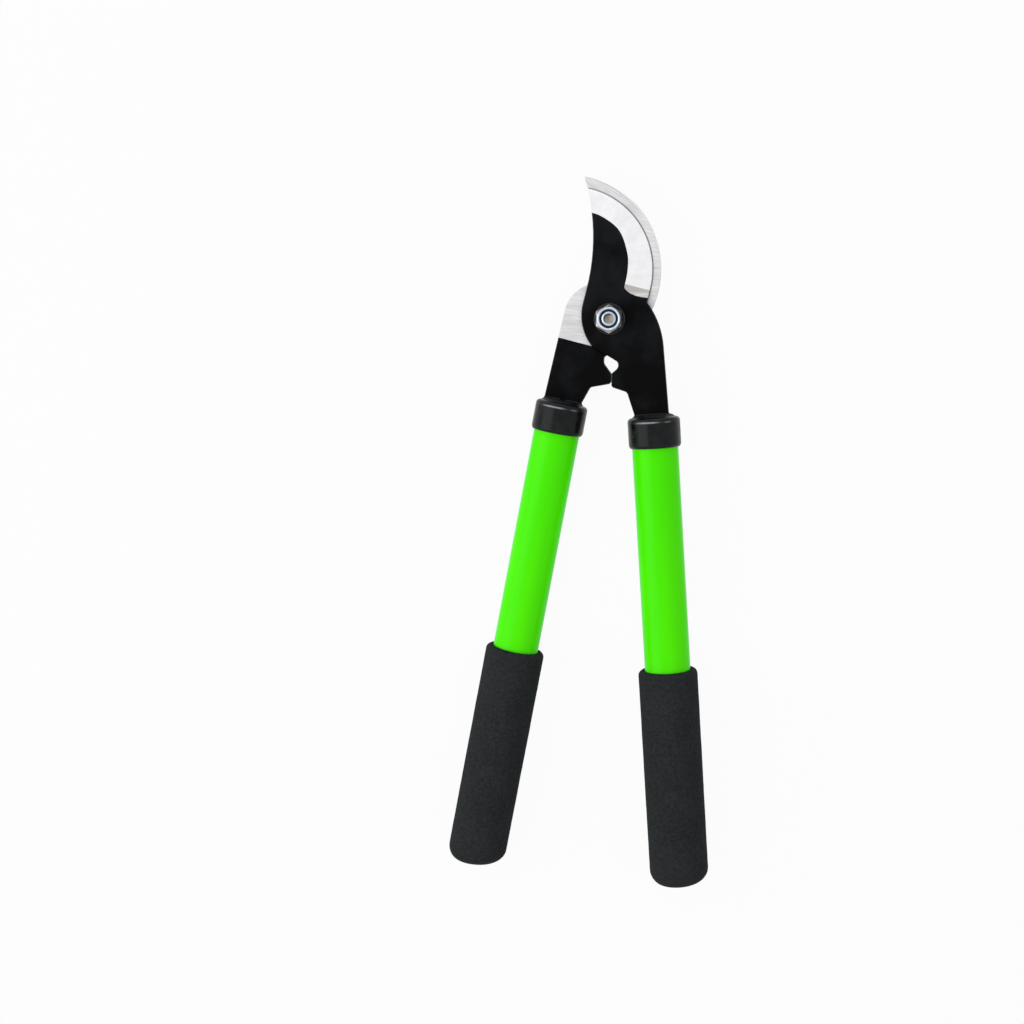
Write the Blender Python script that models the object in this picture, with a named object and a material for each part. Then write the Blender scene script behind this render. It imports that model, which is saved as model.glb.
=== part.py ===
# Short-handled bypass lopper, lying flat on its grips with the blades closed.
# +X points across the tool, from the hook's handle to the blade's handle.
# +Y points from the grips to the blades, and +Z up off the floor, towards the nut.
import math

import bmesh
import bpy
from mathutils import Vector

for old in list(bpy.data.objects):
    bpy.data.objects.remove(old, do_unlink=True)

# Driving dimensions, in metres and degrees. Points on the plates are measured from the pivot.
GAP = 0.0003  # clearance between touching pieces
PIVOT = (0.0152, 0.1131)  # puts the footprint's centre on the origin

# The two plates are flat stock, each ground back to the shear plane where they cross.
PLATE_T = 0.0050
LUG_DEPTH = 0.0020  # thickness that the two stop lobes share
PLATE_EDGE_R = 0.00035
HOOK_TANG = (0.0099, 0.0098)  # how far its inner and outer edges stand off the handle's axis
BLADE_TANG = (0.0097, 0.0081)
TAIL_W = 0.0150
TAIL_L = 0.0320
TAIL_END_R = 0.0020

# Cutting blade: its edge is an arc, its back a hollow.
EDGE_CENTRE = (-0.0209, 0.0250)
EDGE_R = 0.04315
EDGE_TIP_DEG = 75.0
EDGE_HEEL_DEG = -19.6
BLADE_TIP = (-0.0115, 0.0671)
BLADE_TIP_R = 0.0006
BLADE_BACK = ((-0.0113, 0.0645), (-0.0087, 0.0410), (-0.0120, 0.0152))
BLADE_BOSS = ((-0.0138, 0.0082), (-0.01445, -0.0006), (-0.0093, -0.0137))
HEEL_NICK = (0.0193, 0.0084)
BLADE_SHOULDER = (0.0268, -0.0023)
BLADE_SHOULDER_R = 0.0435
BLADE_WAIST = (0.0045, -0.0221)
BLADE_WAIST_R = 0.0024
BLADE_WAIST_LOW = (0.0047, -0.0249)
BLADE_WAIST_LOW_R = 0.0030
BLADE_CROTCH = (0.0092, -0.0376)
BLADE_RELIEF_Y = -0.0236  # where the back of the blade steps down to the tang

# The ground bevel, from its border on the flat of the blade to the edge.
BEVEL_BORDER = (
    (-0.0140, 0.0548),
    (-0.0052, 0.0525),
    (0.0045, 0.0451),
    (0.0089, 0.0335),
    (0.0091, 0.0245),
    (0.0076, 0.0167),
)
BEVEL_HEEL_DEG = -12.8
BEVEL_TIP_DEG = 82.0
HONE_W = 0.0007
HONE_T = 0.0006
EDGE_LAND = 0.00012
GRIND_IN = 0.06  # the grinding cut runs past the bevel by these shares of its width
GRIND_OUT = 0.12
RUN_OUT_IN = 0.0015
RUN_OUT_EDGE = 0.0050

# Hook: a crescent that stands out past the closed blade's edge.
HOOK_SHIFT = (-0.0021, 0.0003)
HOOK_SHOW = 0.0059
HOOK_TIP_DEG = 74.5
HOOK_ROOT_DEG = -27.0
HOOK_TIP = (-0.0140, 0.0735)
HOOK_TIP_LOW = (-0.0105, 0.0628)
HOOK_TIP_R = 0.0014
HOOK_MOUTH_CENTRE = (-0.0225, 0.0285)
HOOK_MOUTH_R = 0.0365
HOOK_MOUTH_TIP_DEG = 67.0
HOOK_MOUTH_LOW_DEG = -9.0
THROAT = (0.0118, 0.0169)
THROAT_R = 0.0055
HOOK_BOSS_CENTRE = (-0.0057, 0.0003)
HOOK_BOSS_R = 0.0182
HOOK_HEEL = (0.0120, -0.0143)
HOOK_HEEL_R = 0.0140
HOOK_NOTCH = (-0.0028, -0.0192)
HOOK_NOTCH_R = 0.0018
HOOK_WAIST = (-0.0030, -0.0227)
HOOK_WAIST_R = 0.0030
HOOK_CROTCH = (-0.0099, -0.0352)
GROUND_LEFT = (-0.0266, -0.0094)  # the hook's ground face ends on this line
GROUND_RIGHT = (-0.0092, -0.0139)
GROUND_CLEAR = 0.0005  # the step stays this far outside the blade's boss

# Stop lobes, which meet when the blades are closed.
LOBE_X = 0.0010
LOBE_TOP_Y = -0.0280
HOOK_LOBE_LOW_Y = -0.0333
BLADE_LOBE_LOW_Y = -0.0349
LOBE_R = 0.0018
LOBE_TOP_R = 0.0006
CROTCH_R = 0.0020

# Pivot: a bolt and locking nut.
BOLT_D = 0.0080
BOLT_L = 0.0200
BOLT_END_D = 0.0060
BOLT_END_L = 0.0010
HEX_FLATS = 0.0130
HEAD_H = 0.0053
NUT_HEX_H = 0.0056
NUT_H = 0.0080
NUT_CROWN_D = 0.0124
NUT_MOUTH_D = 0.0102
HEX_CHAMFER = 0.0008
RING_H = 0.0020
RING_D = 0.0110
RING_SINK = 0.0012
WASHER_D = 0.0160
WASHER_T = 0.0016
WASHER_CHAMFER = 0.0002

# Handles: lengths run down each handle from the top of its collar.
LEFT_COLLAR = (-0.02425, -0.04201)
LEFT_SPLAY_DEG = 10.63
RIGHT_COLLAR = (0.02284, -0.04925)
RIGHT_SPLAY_DEG = 3.78
COLLAR_WALL = 0.0013
COLLAR_L = 0.0170
COLLAR_CAP_T = 0.0050
COLLAR_DOME_W = 0.0019  # the low cone between the flat top and the rounded shoulder
COLLAR_DOME_H = 0.0012
COLLAR_SHOULDER_R = 0.0022
COLLAR_RIM_R = 0.0013
COLLAR_RIM_L = 0.0024
TUBE_D = 0.0240
TUBE_WALL = 0.0015
LEFT_TUBE_SHOWN_L = 0.1167
RIGHT_TUBE_SHOWN_L = 0.11715
GRIP_WALL = 0.0033
LEFT_GRIP_L = 0.1190
RIGHT_GRIP_L = 0.1158
GRIP_LIP_R = 0.0028
GRIP_END_R = 0.0078
GRIP_END_T = 0.0090
TANG_PLUG_L = 0.0340
PIN_D = 0.0040
PIN_DEPTH = 0.0062
END_PLUG_HEAD_T = 0.0015
END_PLUG_L = 0.0140
END_PLUG_WALL = 0.0016

# Fineness of the facets.
ARC_STEP_DEG = 3.0
RIM_STEP_DEG = 30.0
FILLET_FACET = 0.0004
BEVEL_STEPS = 32
RUN_OUT_STEPS = 8
FILLET_ROOM = 0.98  # the share of a wall that the fillets at its ends may take
TURN_SIDES = 40
SMALL_TURN_SIDES = 36
SMOOTH_ANGLE_DEG = 32.0
WASTE = 0.1  # cutters run this far past what they cut

BLADE_Z = (-LUG_DEPTH / 2, PLATE_T - LUG_DEPTH / 2)
HOOK_Z = (-BLADE_Z[1], -BLADE_Z[0])
SHEAR_GAP = GAP / 2  # each plate stays this far off the shear plane
TUBE_R = TUBE_D / 2
TUBE_BORE_R = TUBE_R - TUBE_WALL
SLEEVE_R = TUBE_R + GAP  # bore of the collar and of the grip, over the tube
COLLAR_R = SLEEVE_R + COLLAR_WALL
GRIP_R = SLEEVE_R + GRIP_WALL
SHEAR_Z = GRIP_R


def material(name, colour, roughness, metallic=0.0):
    made = bpy.data.materials.new(name)
    made.use_nodes = True
    shader = made.node_tree.nodes["Principled BSDF"]
    shader.inputs["Base Color"].default_value = (*colour, 1.0)
    shader.inputs["Roughness"].default_value = roughness
    shader.inputs["Metallic"].default_value = metallic
    return made


def empty(name, parent=None, location=(0, 0, 0), turn_deg=0.0):
    made = bpy.data.objects.new(name, None)
    made.location = location
    made.rotation_euler.z = math.radians(turn_deg)
    made.parent = parent
    bpy.context.scene.collection.objects.link(made)
    return made


def solid(name, mesh_maker, parent, paint=None):
    """Makes an object from a function that fills a bmesh, with its faces pointing out."""
    built = bmesh.new()
    mesh_maker(built)
    bmesh.ops.remove_doubles(built, verts=built.verts, dist=1e-7)
    bmesh.ops.recalc_face_normals(built, faces=built.faces)
    mesh = bpy.data.meshes.new(name)
    built.to_mesh(mesh)
    built.free()
    for face in mesh.polygons:
        face.use_smooth = len(face.vertices) == 4  # curved walls are of quads, and all other faces are flat
    mesh.set_sharp_from_angle(angle=math.radians(SMOOTH_ANGLE_DEG))
    made = bpy.data.objects.new(name, mesh)
    made.parent = parent
    bpy.context.scene.collection.objects.link(made)
    if paint:
        mesh.materials.append(paint)
    return made


def boolean(target, tool, operation="DIFFERENCE"):
    """Cuts target with tool, whose paint, if it has one, goes on the cut faces."""
    tool.hide_render = True
    tool.display_type = "WIRE"
    tool.data.shade_flat()
    change = target.modifiers.new(tool.name, "BOOLEAN")
    change.operation = operation
    change.solver = "EXACT"
    change.object = tool
    change.material_mode = "TRANSFER" if tool.data.materials else "INDEX"


# Plane outlines: arcs, filleted corners and a smooth curve through a few points.


def arc(centre, radius, start_deg, end_deg):
    steps = max(2, math.ceil(abs(end_deg - start_deg) / ARC_STEP_DEG))
    angles = [math.radians(start_deg + (end_deg - start_deg) * i / steps) for i in range(steps + 1)]
    return [(centre[0] + radius * math.cos(a), centre[1] + radius * math.sin(a), 0) for a in angles]


def arc_through(first, middle, last):
    """The arc from first to last by way of middle."""
    (ax, ay), (bx, by), (cx, cy) = first, middle, last
    d = 2 * (ax * (by - cy) + bx * (cy - ay) + cx * (ay - by))
    a2, b2, c2 = ax * ax + ay * ay, bx * bx + by * by, cx * cx + cy * cy
    centre_x = (a2 * (by - cy) + b2 * (cy - ay) + c2 * (ay - by)) / d
    centre_y = (a2 * (cx - bx) + b2 * (ax - cx) + c2 * (bx - ax)) / d
    angles = [math.degrees(math.atan2(y - centre_y, x - centre_x)) for x, y in (first, middle, last)]
    start, through, end = angles
    turn = (end - start) % 360
    if (through - start) % 360 > turn:
        turn -= 360
    return arc((centre_x, centre_y), math.hypot(ax - centre_x, ay - centre_y), start, start + turn)


def filleted(corners):
    """A closed outline from (x, y, radius) corners, each rounded by its radius.

    Two fillets that would meet on the wall between them share its length."""
    places = [Vector((x, y)) for x, y, radius in corners]
    befores = [places[i - 1] - place for i, place in enumerate(places)]
    afters = [-before for before in befores[1:] + befores[:1]]
    halves = [before.angle(after) / 2 for before, after in zip(befores, afters)]
    reaches = [corner[2] / math.tan(half) for corner, half in zip(corners, halves)]

    def room(i, wall, neighbour):
        both = reaches[i] + reaches[neighbour]
        return reaches[i] * min(1.0, FILLET_ROOM * wall.length / both) if both else 0.0

    outline = []
    for i, here in enumerate(places):
        reach = min(room(i, befores[i], i - 1), room(i, afters[i], (i + 1) % len(places)))
        if not reach:
            outline.append(here)
            continue
        before, after, half = befores[i].normalized(), afters[i].normalized(), halves[i]
        radius = reach * math.tan(half)
        centre = here + (before + after).normalized() * radius / math.sin(half)
        start = here + before * reach - centre
        end = here + after * reach - centre
        turn = math.atan2(start.cross(end), start.dot(end))
        by_angle = math.ceil(abs(math.degrees(turn)) / ARC_STEP_DEG)
        by_length = round(abs(turn) * radius / FILLET_FACET)
        steps = max(2, min(by_angle, by_length))
        for step in range(steps + 1):
            angle = turn * step / steps
            c, s = math.cos(angle), math.sin(angle)
            outline.append(centre + Vector((start.x * c - start.y * s, start.x * s + start.y * c)))
    return outline


def smooth(points, count):
    """Evenly many points on a Catmull-Rom curve through the given ones."""
    ends = [Vector(p) for p in points]
    ends = [2 * ends[0] - ends[1], *ends, 2 * ends[-1] - ends[-2]]
    curve = []
    for i in range(count + 1):
        place = (len(points) - 1) * i / count
        k = min(int(place), len(points) - 2)
        t = place - k
        a, b, c, d = ends[k:k + 4]
        bend = (2 * a - 5 * b + 4 * c - d) * t**2 + (3 * b - a - 3 * c + d) * t**3
        curve.append(0.5 * (2 * b + (c - a) * t + bend))
    return curve


def inset(outline, amount):
    """The outline moved inwards; its points run anticlockwise."""
    moved = []
    for i, point in enumerate(outline):
        before = (point - outline[i - 1]).normalized()
        after = (outline[(i + 1) % len(outline)] - point).normalized()
        inward = Vector((-before.y - after.y, before.x + after.x))
        moved.append(point + inward.normalized() * amount / max(0.5, inward.length / 2))
    return moved


def anticlockwise(outline):
    area = sum(a.cross(b) for a, b in zip(outline, outline[1:] + outline[:1]))
    return outline if area > 0 else outline[::-1]


# Solids from rings of points, and from profiles turned about the local Y axis.


def skin(built, rings, closed=False):
    """Joins rings of equally many points, and caps the first and last unless closed."""
    made = [[built.verts.new(point) for point in ring] for ring in rings]
    pairs = list(zip(made, made[1:] + made[:1] if closed else made[1:]))
    for low, high in pairs:
        for i in range(len(low)):
            j = (i + 1) % len(low)
            built.faces.new((low[i], low[j], high[j], high[i]))
    if not closed:
        built.faces.new(made[0][::-1])
        built.faces.new(made[-1])


def extruded(outline, low, high, edge_radius=0.0):
    """A plate with rounded rims, or with square ones where edge_radius is 0."""
    outline = anticlockwise(outline)
    rim_steps = round(90 / RIM_STEP_DEG)
    rim = [math.radians(90 * i / rim_steps) for i in range(rim_steps + 1)] if edge_radius else [math.pi / 2]
    levels = [(edge_radius * (1 - math.sin(a)), edge_radius * (1 - math.cos(a))) for a in rim]
    rings = [(amount, low + rise) for amount, rise in levels]
    rings += [(amount, high - rise) for amount, rise in reversed(levels)]

    def fill(built):
        skin(built, [[(p.x, p.y, z) for p in inset(outline, amount)] for amount, z in rings])

    return fill


def turned(profile, sides, axis):
    """A profile of (radius, length) turned about +Z, or about -Y, which runs down a handle.

    It starts and ends on the axis, or else it is a ring's and closes on itself."""

    def fill(built):
        points = [(r, 0, length) if axis == "Z" else (r, -length, 0) for r, length in profile]
        corners = [built.verts.new(point) for point in points]
        on_axis = profile[0][0] == profile[-1][0] == 0
        ends = corners[1:] if on_axis else corners[1:] + corners[:1]
        edges = [built.edges.new(pair) for pair in zip(corners, ends)]
        bmesh.ops.spin(
            built,
            geom=corners + edges,
            cent=(0, 0, 0),
            axis=(0, 0, 1) if axis == "Z" else (0, 1, 0),
            angle=math.tau,
            steps=sides,
            use_merge=True,
        )

    return fill


def rounding(centre, radii, start_deg, end_deg, steps=4):
    """Profile points round a corner, on an ellipse with radii across and along the axis."""
    angles = [math.radians(start_deg + (end_deg - start_deg) * i / steps) for i in range(steps + 1)]
    return [(centre[0] + radii[0] * math.cos(a), centre[1] + radii[1] * math.sin(a)) for a in angles]


def box(low, high):
    def fill(built):
        corners = [(low[0], low[1]), (high[0], low[1]), (high[0], high[1]), (low[0], high[1])]
        skin(built, [[(x, y, z) for x, y in corners] for z in (low[2], high[2])])

    return fill


def rod(radius, low, high, sides=SMALL_TURN_SIDES):
    return turned([(0, low), (radius, low), (radius, high), (0, high)], sides, "Z")


# Two sides: the hook's side stands still, and the blade's side turns on the pivot.
hook_side = empty("hook_side", location=(*PIVOT, SHEAR_Z))
blade_side = empty("blade_side", location=(*PIVOT, SHEAR_Z))


def along_handle(collar, lean_deg, down, across):
    """A point on the plates, given down a handle from its collar's top and across its axis."""
    c, s = math.cos(math.radians(lean_deg)), math.sin(math.radians(lean_deg))
    return (collar[0] + down * s + across * c, collar[1] - down * c + across * s)


def tang(collar, lean_deg, reach):
    """The tang's corners from its inner edge, round the tail inside the tube, to its outer edge."""
    side = math.copysign(1, lean_deg)
    inner, outer, tail = -side * reach[0], side * reach[1], side * TAIL_W / 2
    tail_end = COLLAR_CAP_T + TAIL_L
    corners = [(-2 * GAP, inner, 0), (COLLAR_CAP_T, inner, 0), (COLLAR_CAP_T, -tail, 0)]
    corners += [(tail_end, -tail, TAIL_END_R), (tail_end, tail, TAIL_END_R)]
    corners += [(COLLAR_CAP_T, tail, 0), (COLLAR_CAP_T, outer, 0), (-2 * GAP, outer, 0)]
    return [(*along_handle(collar, lean_deg, down, across), radius) for down, across, radius in corners]


# Cutting blade, with its edge ground on the front and its back relieved to the shear plane.
BLADE_COAT = material("blade_black_coat", (0.012, 0.012, 0.013), 0.45)
GROUND_STEEL = material("ground_steel", (0.62, 0.61, 0.60), 0.32, 1.0)


def blade_outline():
    corners = arc(EDGE_CENTRE, EDGE_R, EDGE_TIP_DEG, EDGE_HEEL_DEG)
    corners += [(*HEEL_NICK, 0.0008), (*BLADE_SHOULDER, BLADE_SHOULDER_R)]
    corners += tang(RIGHT_COLLAR, RIGHT_SPLAY_DEG, BLADE_TANG)[::-1]
    corners += [(*BLADE_CROTCH, CROTCH_R)]
    corners += [(LOBE_X + GAP / 2, BLADE_LOBE_LOW_Y, LOBE_R)]
    corners += [(LOBE_X + GAP / 2, LOBE_TOP_Y, LOBE_TOP_R)]
    corners += [(*BLADE_WAIST_LOW, BLADE_WAIST_LOW_R), (*BLADE_WAIST, BLADE_WAIST_R)]
    corners += arc_through(*BLADE_BOSS)[::-1]
    corners += arc_through(*BLADE_BACK)[::-1]
    corners += [(*BLADE_TIP, BLADE_TIP_R)]
    return filleted(corners)


def bevel_sections():
    """Cross sections of what the grinding takes away, from past the tip to the run-out at the heel."""
    border = smooth(BEVEL_BORDER, BEVEL_STEPS)
    edge = [Vector(p[:2]) for p in arc(EDGE_CENTRE, EDGE_R, BEVEL_TIP_DEG, BEVEL_HEEL_DEG)]
    steps = len(edge) - 1
    top, floor = BLADE_Z[1], SHEAR_GAP
    sections = []

    def section(inner, outer, shift, lift):
        width = (outer - inner).length
        hone = 1 - HONE_W / width
        drop = top - floor - HONE_T
        fall = (HONE_T - EDGE_LAND) / (1 - hone)
        levels = [(-GRIND_IN, top + GRIND_IN * drop / hone)]
        levels += [(u, top - drop * u / hone) for u in (0, 0.25 * hone, 0.5 * hone, 0.75 * hone, hone)]
        levels += [(1.0, floor + EDGE_LAND), (1.0 + GRIND_OUT, floor + EDGE_LAND - GRIND_OUT * fall)]
        under = []
        for u, z in levels:
            place = inner.lerp(outer, u) + shift(u)
            under.append((place.x, place.y, z + (top + GAP / 3 - z) * lift))
        cap = top + PLATE_T
        return under + [(under[-1][0], under[-1][1], cap), (under[0][0], under[0][1], cap)]

    for i in range(BEVEL_STEPS + 1):
        place = steps * i / BEVEL_STEPS
        k = min(int(place), steps - 1)
        outer = edge[k].lerp(edge[k + 1], place - k)
        sections.append(section(border[i], outer, lambda u: Vector((0, 0)), 0.0))
    border_run, edge_run = (border[-1] - border[-2]).normalized(), (edge[-1] - edge[-2]).normalized()
    along = (border_run + edge_run).normalized()
    for i in range(1, RUN_OUT_STEPS + 1):
        t = i / RUN_OUT_STEPS

        def shift(u, t=t):
            share = min(1.0, max(0.0, u))
            return along * t * (RUN_OUT_IN + (RUN_OUT_EDGE - RUN_OUT_IN) * (1 - (1 - share) ** 3))

        sections.append(section(border[-1], edge[-1], shift, t * t))
    return sections


def bevel_waste(built):
    skin(built, bevel_sections())


blade_blank = extruded(blade_outline(), *BLADE_Z, PLATE_EDGE_R)
relief = box((-WASTE, BLADE_RELIEF_Y, -PLATE_T), (WASTE, WASTE, SHEAR_GAP))
bore = rod(BOLT_D / 2 + GAP, -2 * PLATE_T, 2 * PLATE_T)
cutting_blade = solid("cutting_blade", blade_blank, blade_side, BLADE_COAT)
boolean(cutting_blade, solid("blade_relief", relief, blade_side, GROUND_STEEL))
boolean(cutting_blade, solid("bevel_grind", bevel_waste, blade_side, GROUND_STEEL))
boolean(cutting_blade, solid("blade_bore", bore, blade_side))

# Hook plate, milled back to the shear plane above its coat line.
HOOK_COAT = material("hook_black_coat", (0.012, 0.012, 0.013), 0.45)
HOOK_CENTRE = (EDGE_CENTRE[0] + HOOK_SHIFT[0], EDGE_CENTRE[1] + HOOK_SHIFT[1])


def hook_outline():
    corners = arc(HOOK_CENTRE, EDGE_R + HOOK_SHOW, HOOK_TIP_DEG, HOOK_ROOT_DEG)
    corners += [(*HOOK_HEEL, HOOK_HEEL_R), (*HOOK_NOTCH, HOOK_NOTCH_R), (*HOOK_WAIST, HOOK_WAIST_R)]
    corners += [(LOBE_X - GAP / 2, LOBE_TOP_Y, LOBE_TOP_R)]
    corners += [(LOBE_X - GAP / 2, HOOK_LOBE_LOW_Y, LOBE_R)]
    corners += [(*HOOK_CROTCH, CROTCH_R)]
    corners += tang(LEFT_COLLAR, -LEFT_SPLAY_DEG, HOOK_TANG)
    corners += arc(HOOK_BOSS_CENTRE, HOOK_BOSS_R, 167.0, 90.0)
    corners += [(*THROAT, THROAT_R)]
    corners += arc(HOOK_MOUTH_CENTRE, HOOK_MOUTH_R, HOOK_MOUTH_LOW_DEG, HOOK_MOUTH_TIP_DEG)
    corners += [(*HOOK_TIP_LOW, HOOK_TIP_R), (*HOOK_TIP, HOOK_TIP_R)]
    return filleted(corners)


def ground_area():
    """The milled part of the hook's front: above the coat line, and round under the blade's boss."""
    first, last = Vector(GROUND_LEFT), Vector(GROUND_RIGHT)
    start = first + (first - last).normalized() * WASTE
    boss_end = Vector(BLADE_BOSS[2])
    waist = Vector(BLADE_WAIST)
    run = (waist - boss_end).normalized()
    clear = Vector((run.y, -run.x)) * GROUND_CLEAR
    beyond = waist + clear
    right = [Vector((WASTE, beyond.y)), Vector((WASTE, WASTE))]
    return [start, last, boss_end + clear, beyond, *right, Vector((start.x, WASTE))]


hook_blank = extruded(hook_outline(), *HOOK_Z, PLATE_EDGE_R)
milling = extruded(ground_area(), -SHEAR_GAP, PLATE_T)
hook_blade = solid("hook_blade", hook_blank, hook_side, HOOK_COAT)
boolean(hook_blade, solid("hook_milling", milling, hook_side, GROUND_STEEL))
boolean(hook_blade, solid("hook_bore", bore, hook_side))

# Pivot hardware, stacked along the pivot: head, washer, hook, blade, washer and nut.
ZINC = material("zinc_plated_steel", (0.62, 0.64, 0.66), 0.3, 1.0)
NYLON = material("blue_nylon", (0.01, 0.02, 0.09), 0.4)
HEX_CORNER_R = HEX_FLATS / math.sqrt(3)
HEX_FACE_R = 0.475 * HEX_FLATS
BORE_R = BOLT_D / 2 + GAP
UNDER_HEAD_Z = HOOK_Z[0] - WASHER_T - 2 * GAP
NUT_BASE_Z = BLADE_Z[1] + WASHER_T + 2 * GAP
NUT_TOP_Z = NUT_BASE_Z + NUT_H


def hexagonal(target):
    """Leaves what lies inside a hexagonal bar whose corners point along the tool."""
    corners = [math.radians(60 * i) for i in range(6)]
    outline = [Vector((HEX_CORNER_R * math.sin(a), HEX_CORNER_R * math.cos(a))) for a in corners]
    bar = solid(target.name + "_hexagon", extruded(outline, -2 * BOLT_L, 2 * BOLT_L), hook_side)
    boolean(target, bar, "INTERSECT")


def washer(name, low):
    inner, outer, high = BORE_R, WASHER_D / 2, low + WASHER_T
    profile = [(inner, low), (outer - WASHER_CHAMFER, low), (outer, low + WASHER_CHAMFER)]
    profile += [(outer, high - WASHER_CHAMFER), (outer - WASHER_CHAMFER, high), (inner, high)]
    solid(name, turned(profile, SMALL_TURN_SIDES, "Z"), hook_side, ZINC)


blank_r = HEX_CORNER_R + GAP
head_low = UNDER_HEAD_Z - HEAD_H
bolt_top = UNDER_HEAD_Z + BOLT_L
bolt_profile = [(0, head_low), (HEX_FACE_R, head_low), (blank_r, head_low + HEX_CHAMFER)]
bolt_profile += [(blank_r, UNDER_HEAD_Z), (BOLT_D / 2, UNDER_HEAD_Z)]
bolt_profile += [(BOLT_D / 2, bolt_top - BOLT_END_L), (BOLT_END_D / 2, bolt_top), (0, bolt_top)]
hexagonal(solid("pivot_bolt", turned(bolt_profile, SMALL_TURN_SIDES, "Z"), hook_side, ZINC))

washer("head_washer", UNDER_HEAD_Z + GAP)
washer("nut_washer", BLADE_Z[1] + GAP)

# The nut's crown is rolled over a nylon ring, which grips the thread.
lip_r = (NUT_CROWN_D - NUT_MOUTH_D) / 4
ring_top = NUT_TOP_Z - RING_SINK
groove_r = RING_D / 2 + GAP
nut_profile = [(BORE_R, NUT_BASE_Z), (HEX_FACE_R, NUT_BASE_Z), (blank_r, NUT_BASE_Z + HEX_CHAMFER)]
nut_profile += [(blank_r, NUT_BASE_Z + NUT_HEX_H - HEX_CHAMFER), (NUT_CROWN_D / 2, NUT_BASE_Z + NUT_HEX_H)]
nut_profile += rounding((NUT_CROWN_D / 2 - lip_r, NUT_TOP_Z - lip_r), (lip_r, lip_r), 0, 180, 6)
nut_profile += [(NUT_MOUTH_D / 2, ring_top + GAP), (groove_r, ring_top + GAP)]
nut_profile += [(groove_r, ring_top - RING_H - GAP), (BORE_R, ring_top - RING_H - GAP)]
hexagonal(solid("pivot_nut", turned(nut_profile, SMALL_TURN_SIDES, "Z"), hook_side, ZINC))
ring_profile = [(BORE_R, ring_top - RING_H), (RING_D / 2, ring_top - RING_H)]
ring_profile += [(RING_D / 2, ring_top), (BORE_R, ring_top)]
solid("nut_nylon_ring", turned(ring_profile, SMALL_TURN_SIDES, "Z"), hook_side, NYLON)

# Handles: a tube pinned to the tang through a slotted plug, with a collar over the joint and a foam grip.
COLLAR_PLASTIC = material("black_collar_plastic", (0.015, 0.015, 0.017), 0.25)
PLUG_PLASTIC = material("black_plug_plastic", (0.02, 0.02, 0.02), 0.5)
GREEN_ENAMEL = material("green_enamel", (0.06, 0.82, 0.01), 0.28)
FOAM = material("black_foam", (0.018, 0.019, 0.021), 0.9)
PIN_STEEL = material("pin_steel", (0.5, 0.5, 0.5), 0.35, 1.0)
TUBE_TOP = COLLAR_CAP_T + GAP


def collar_profile():
    shoulder = (COLLAR_R - COLLAR_SHOULDER_R, COLLAR_DOME_H + COLLAR_SHOULDER_R)
    rim = (COLLAR_R - COLLAR_RIM_R, COLLAR_L - COLLAR_RIM_L)
    profile = [(0, 0), (shoulder[0] - COLLAR_DOME_W, 0)]
    profile += rounding(shoulder, (COLLAR_SHOULDER_R, COLLAR_SHOULDER_R), -90, 0)
    profile += rounding(rim, (COLLAR_RIM_R, COLLAR_RIM_L), 0, 90)
    return profile + [(SLEEVE_R, COLLAR_L), (SLEEVE_R, COLLAR_CAP_T), (0, COLLAR_CAP_T)]


def grip_profile(top, end):
    """The grip, which is closed over the end of the tube."""
    corner = (GRIP_R - GRIP_END_R, end - GRIP_END_R)
    lip = (GRIP_R - GRIP_LIP_R, top + GRIP_LIP_R)
    profile = [(0, end)]
    profile += rounding(corner, (GRIP_END_R, GRIP_END_R), 90, 0, 6)
    profile += rounding(lip, (GRIP_LIP_R, GRIP_LIP_R), 0, -90)
    return profile + [(SLEEVE_R, top), (SLEEVE_R, end - GRIP_END_T), (0, end - GRIP_END_T)]


def end_plug_profile(seat):
    """The plug's head lies on the tube's end from seat on, and its hollow spigot stands in the bore."""
    spigot_r = TUBE_BORE_R - GAP
    head_end = seat + END_PLUG_HEAD_T
    start = head_end - END_PLUG_L
    profile = [(0, seat), (spigot_r - END_PLUG_WALL, seat), (spigot_r - END_PLUG_WALL, start)]
    profile += [(spigot_r, start), (spigot_r, seat), (TUBE_R, seat)]
    return profile + [(TUBE_R, head_end), (0, head_end)]


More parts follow.
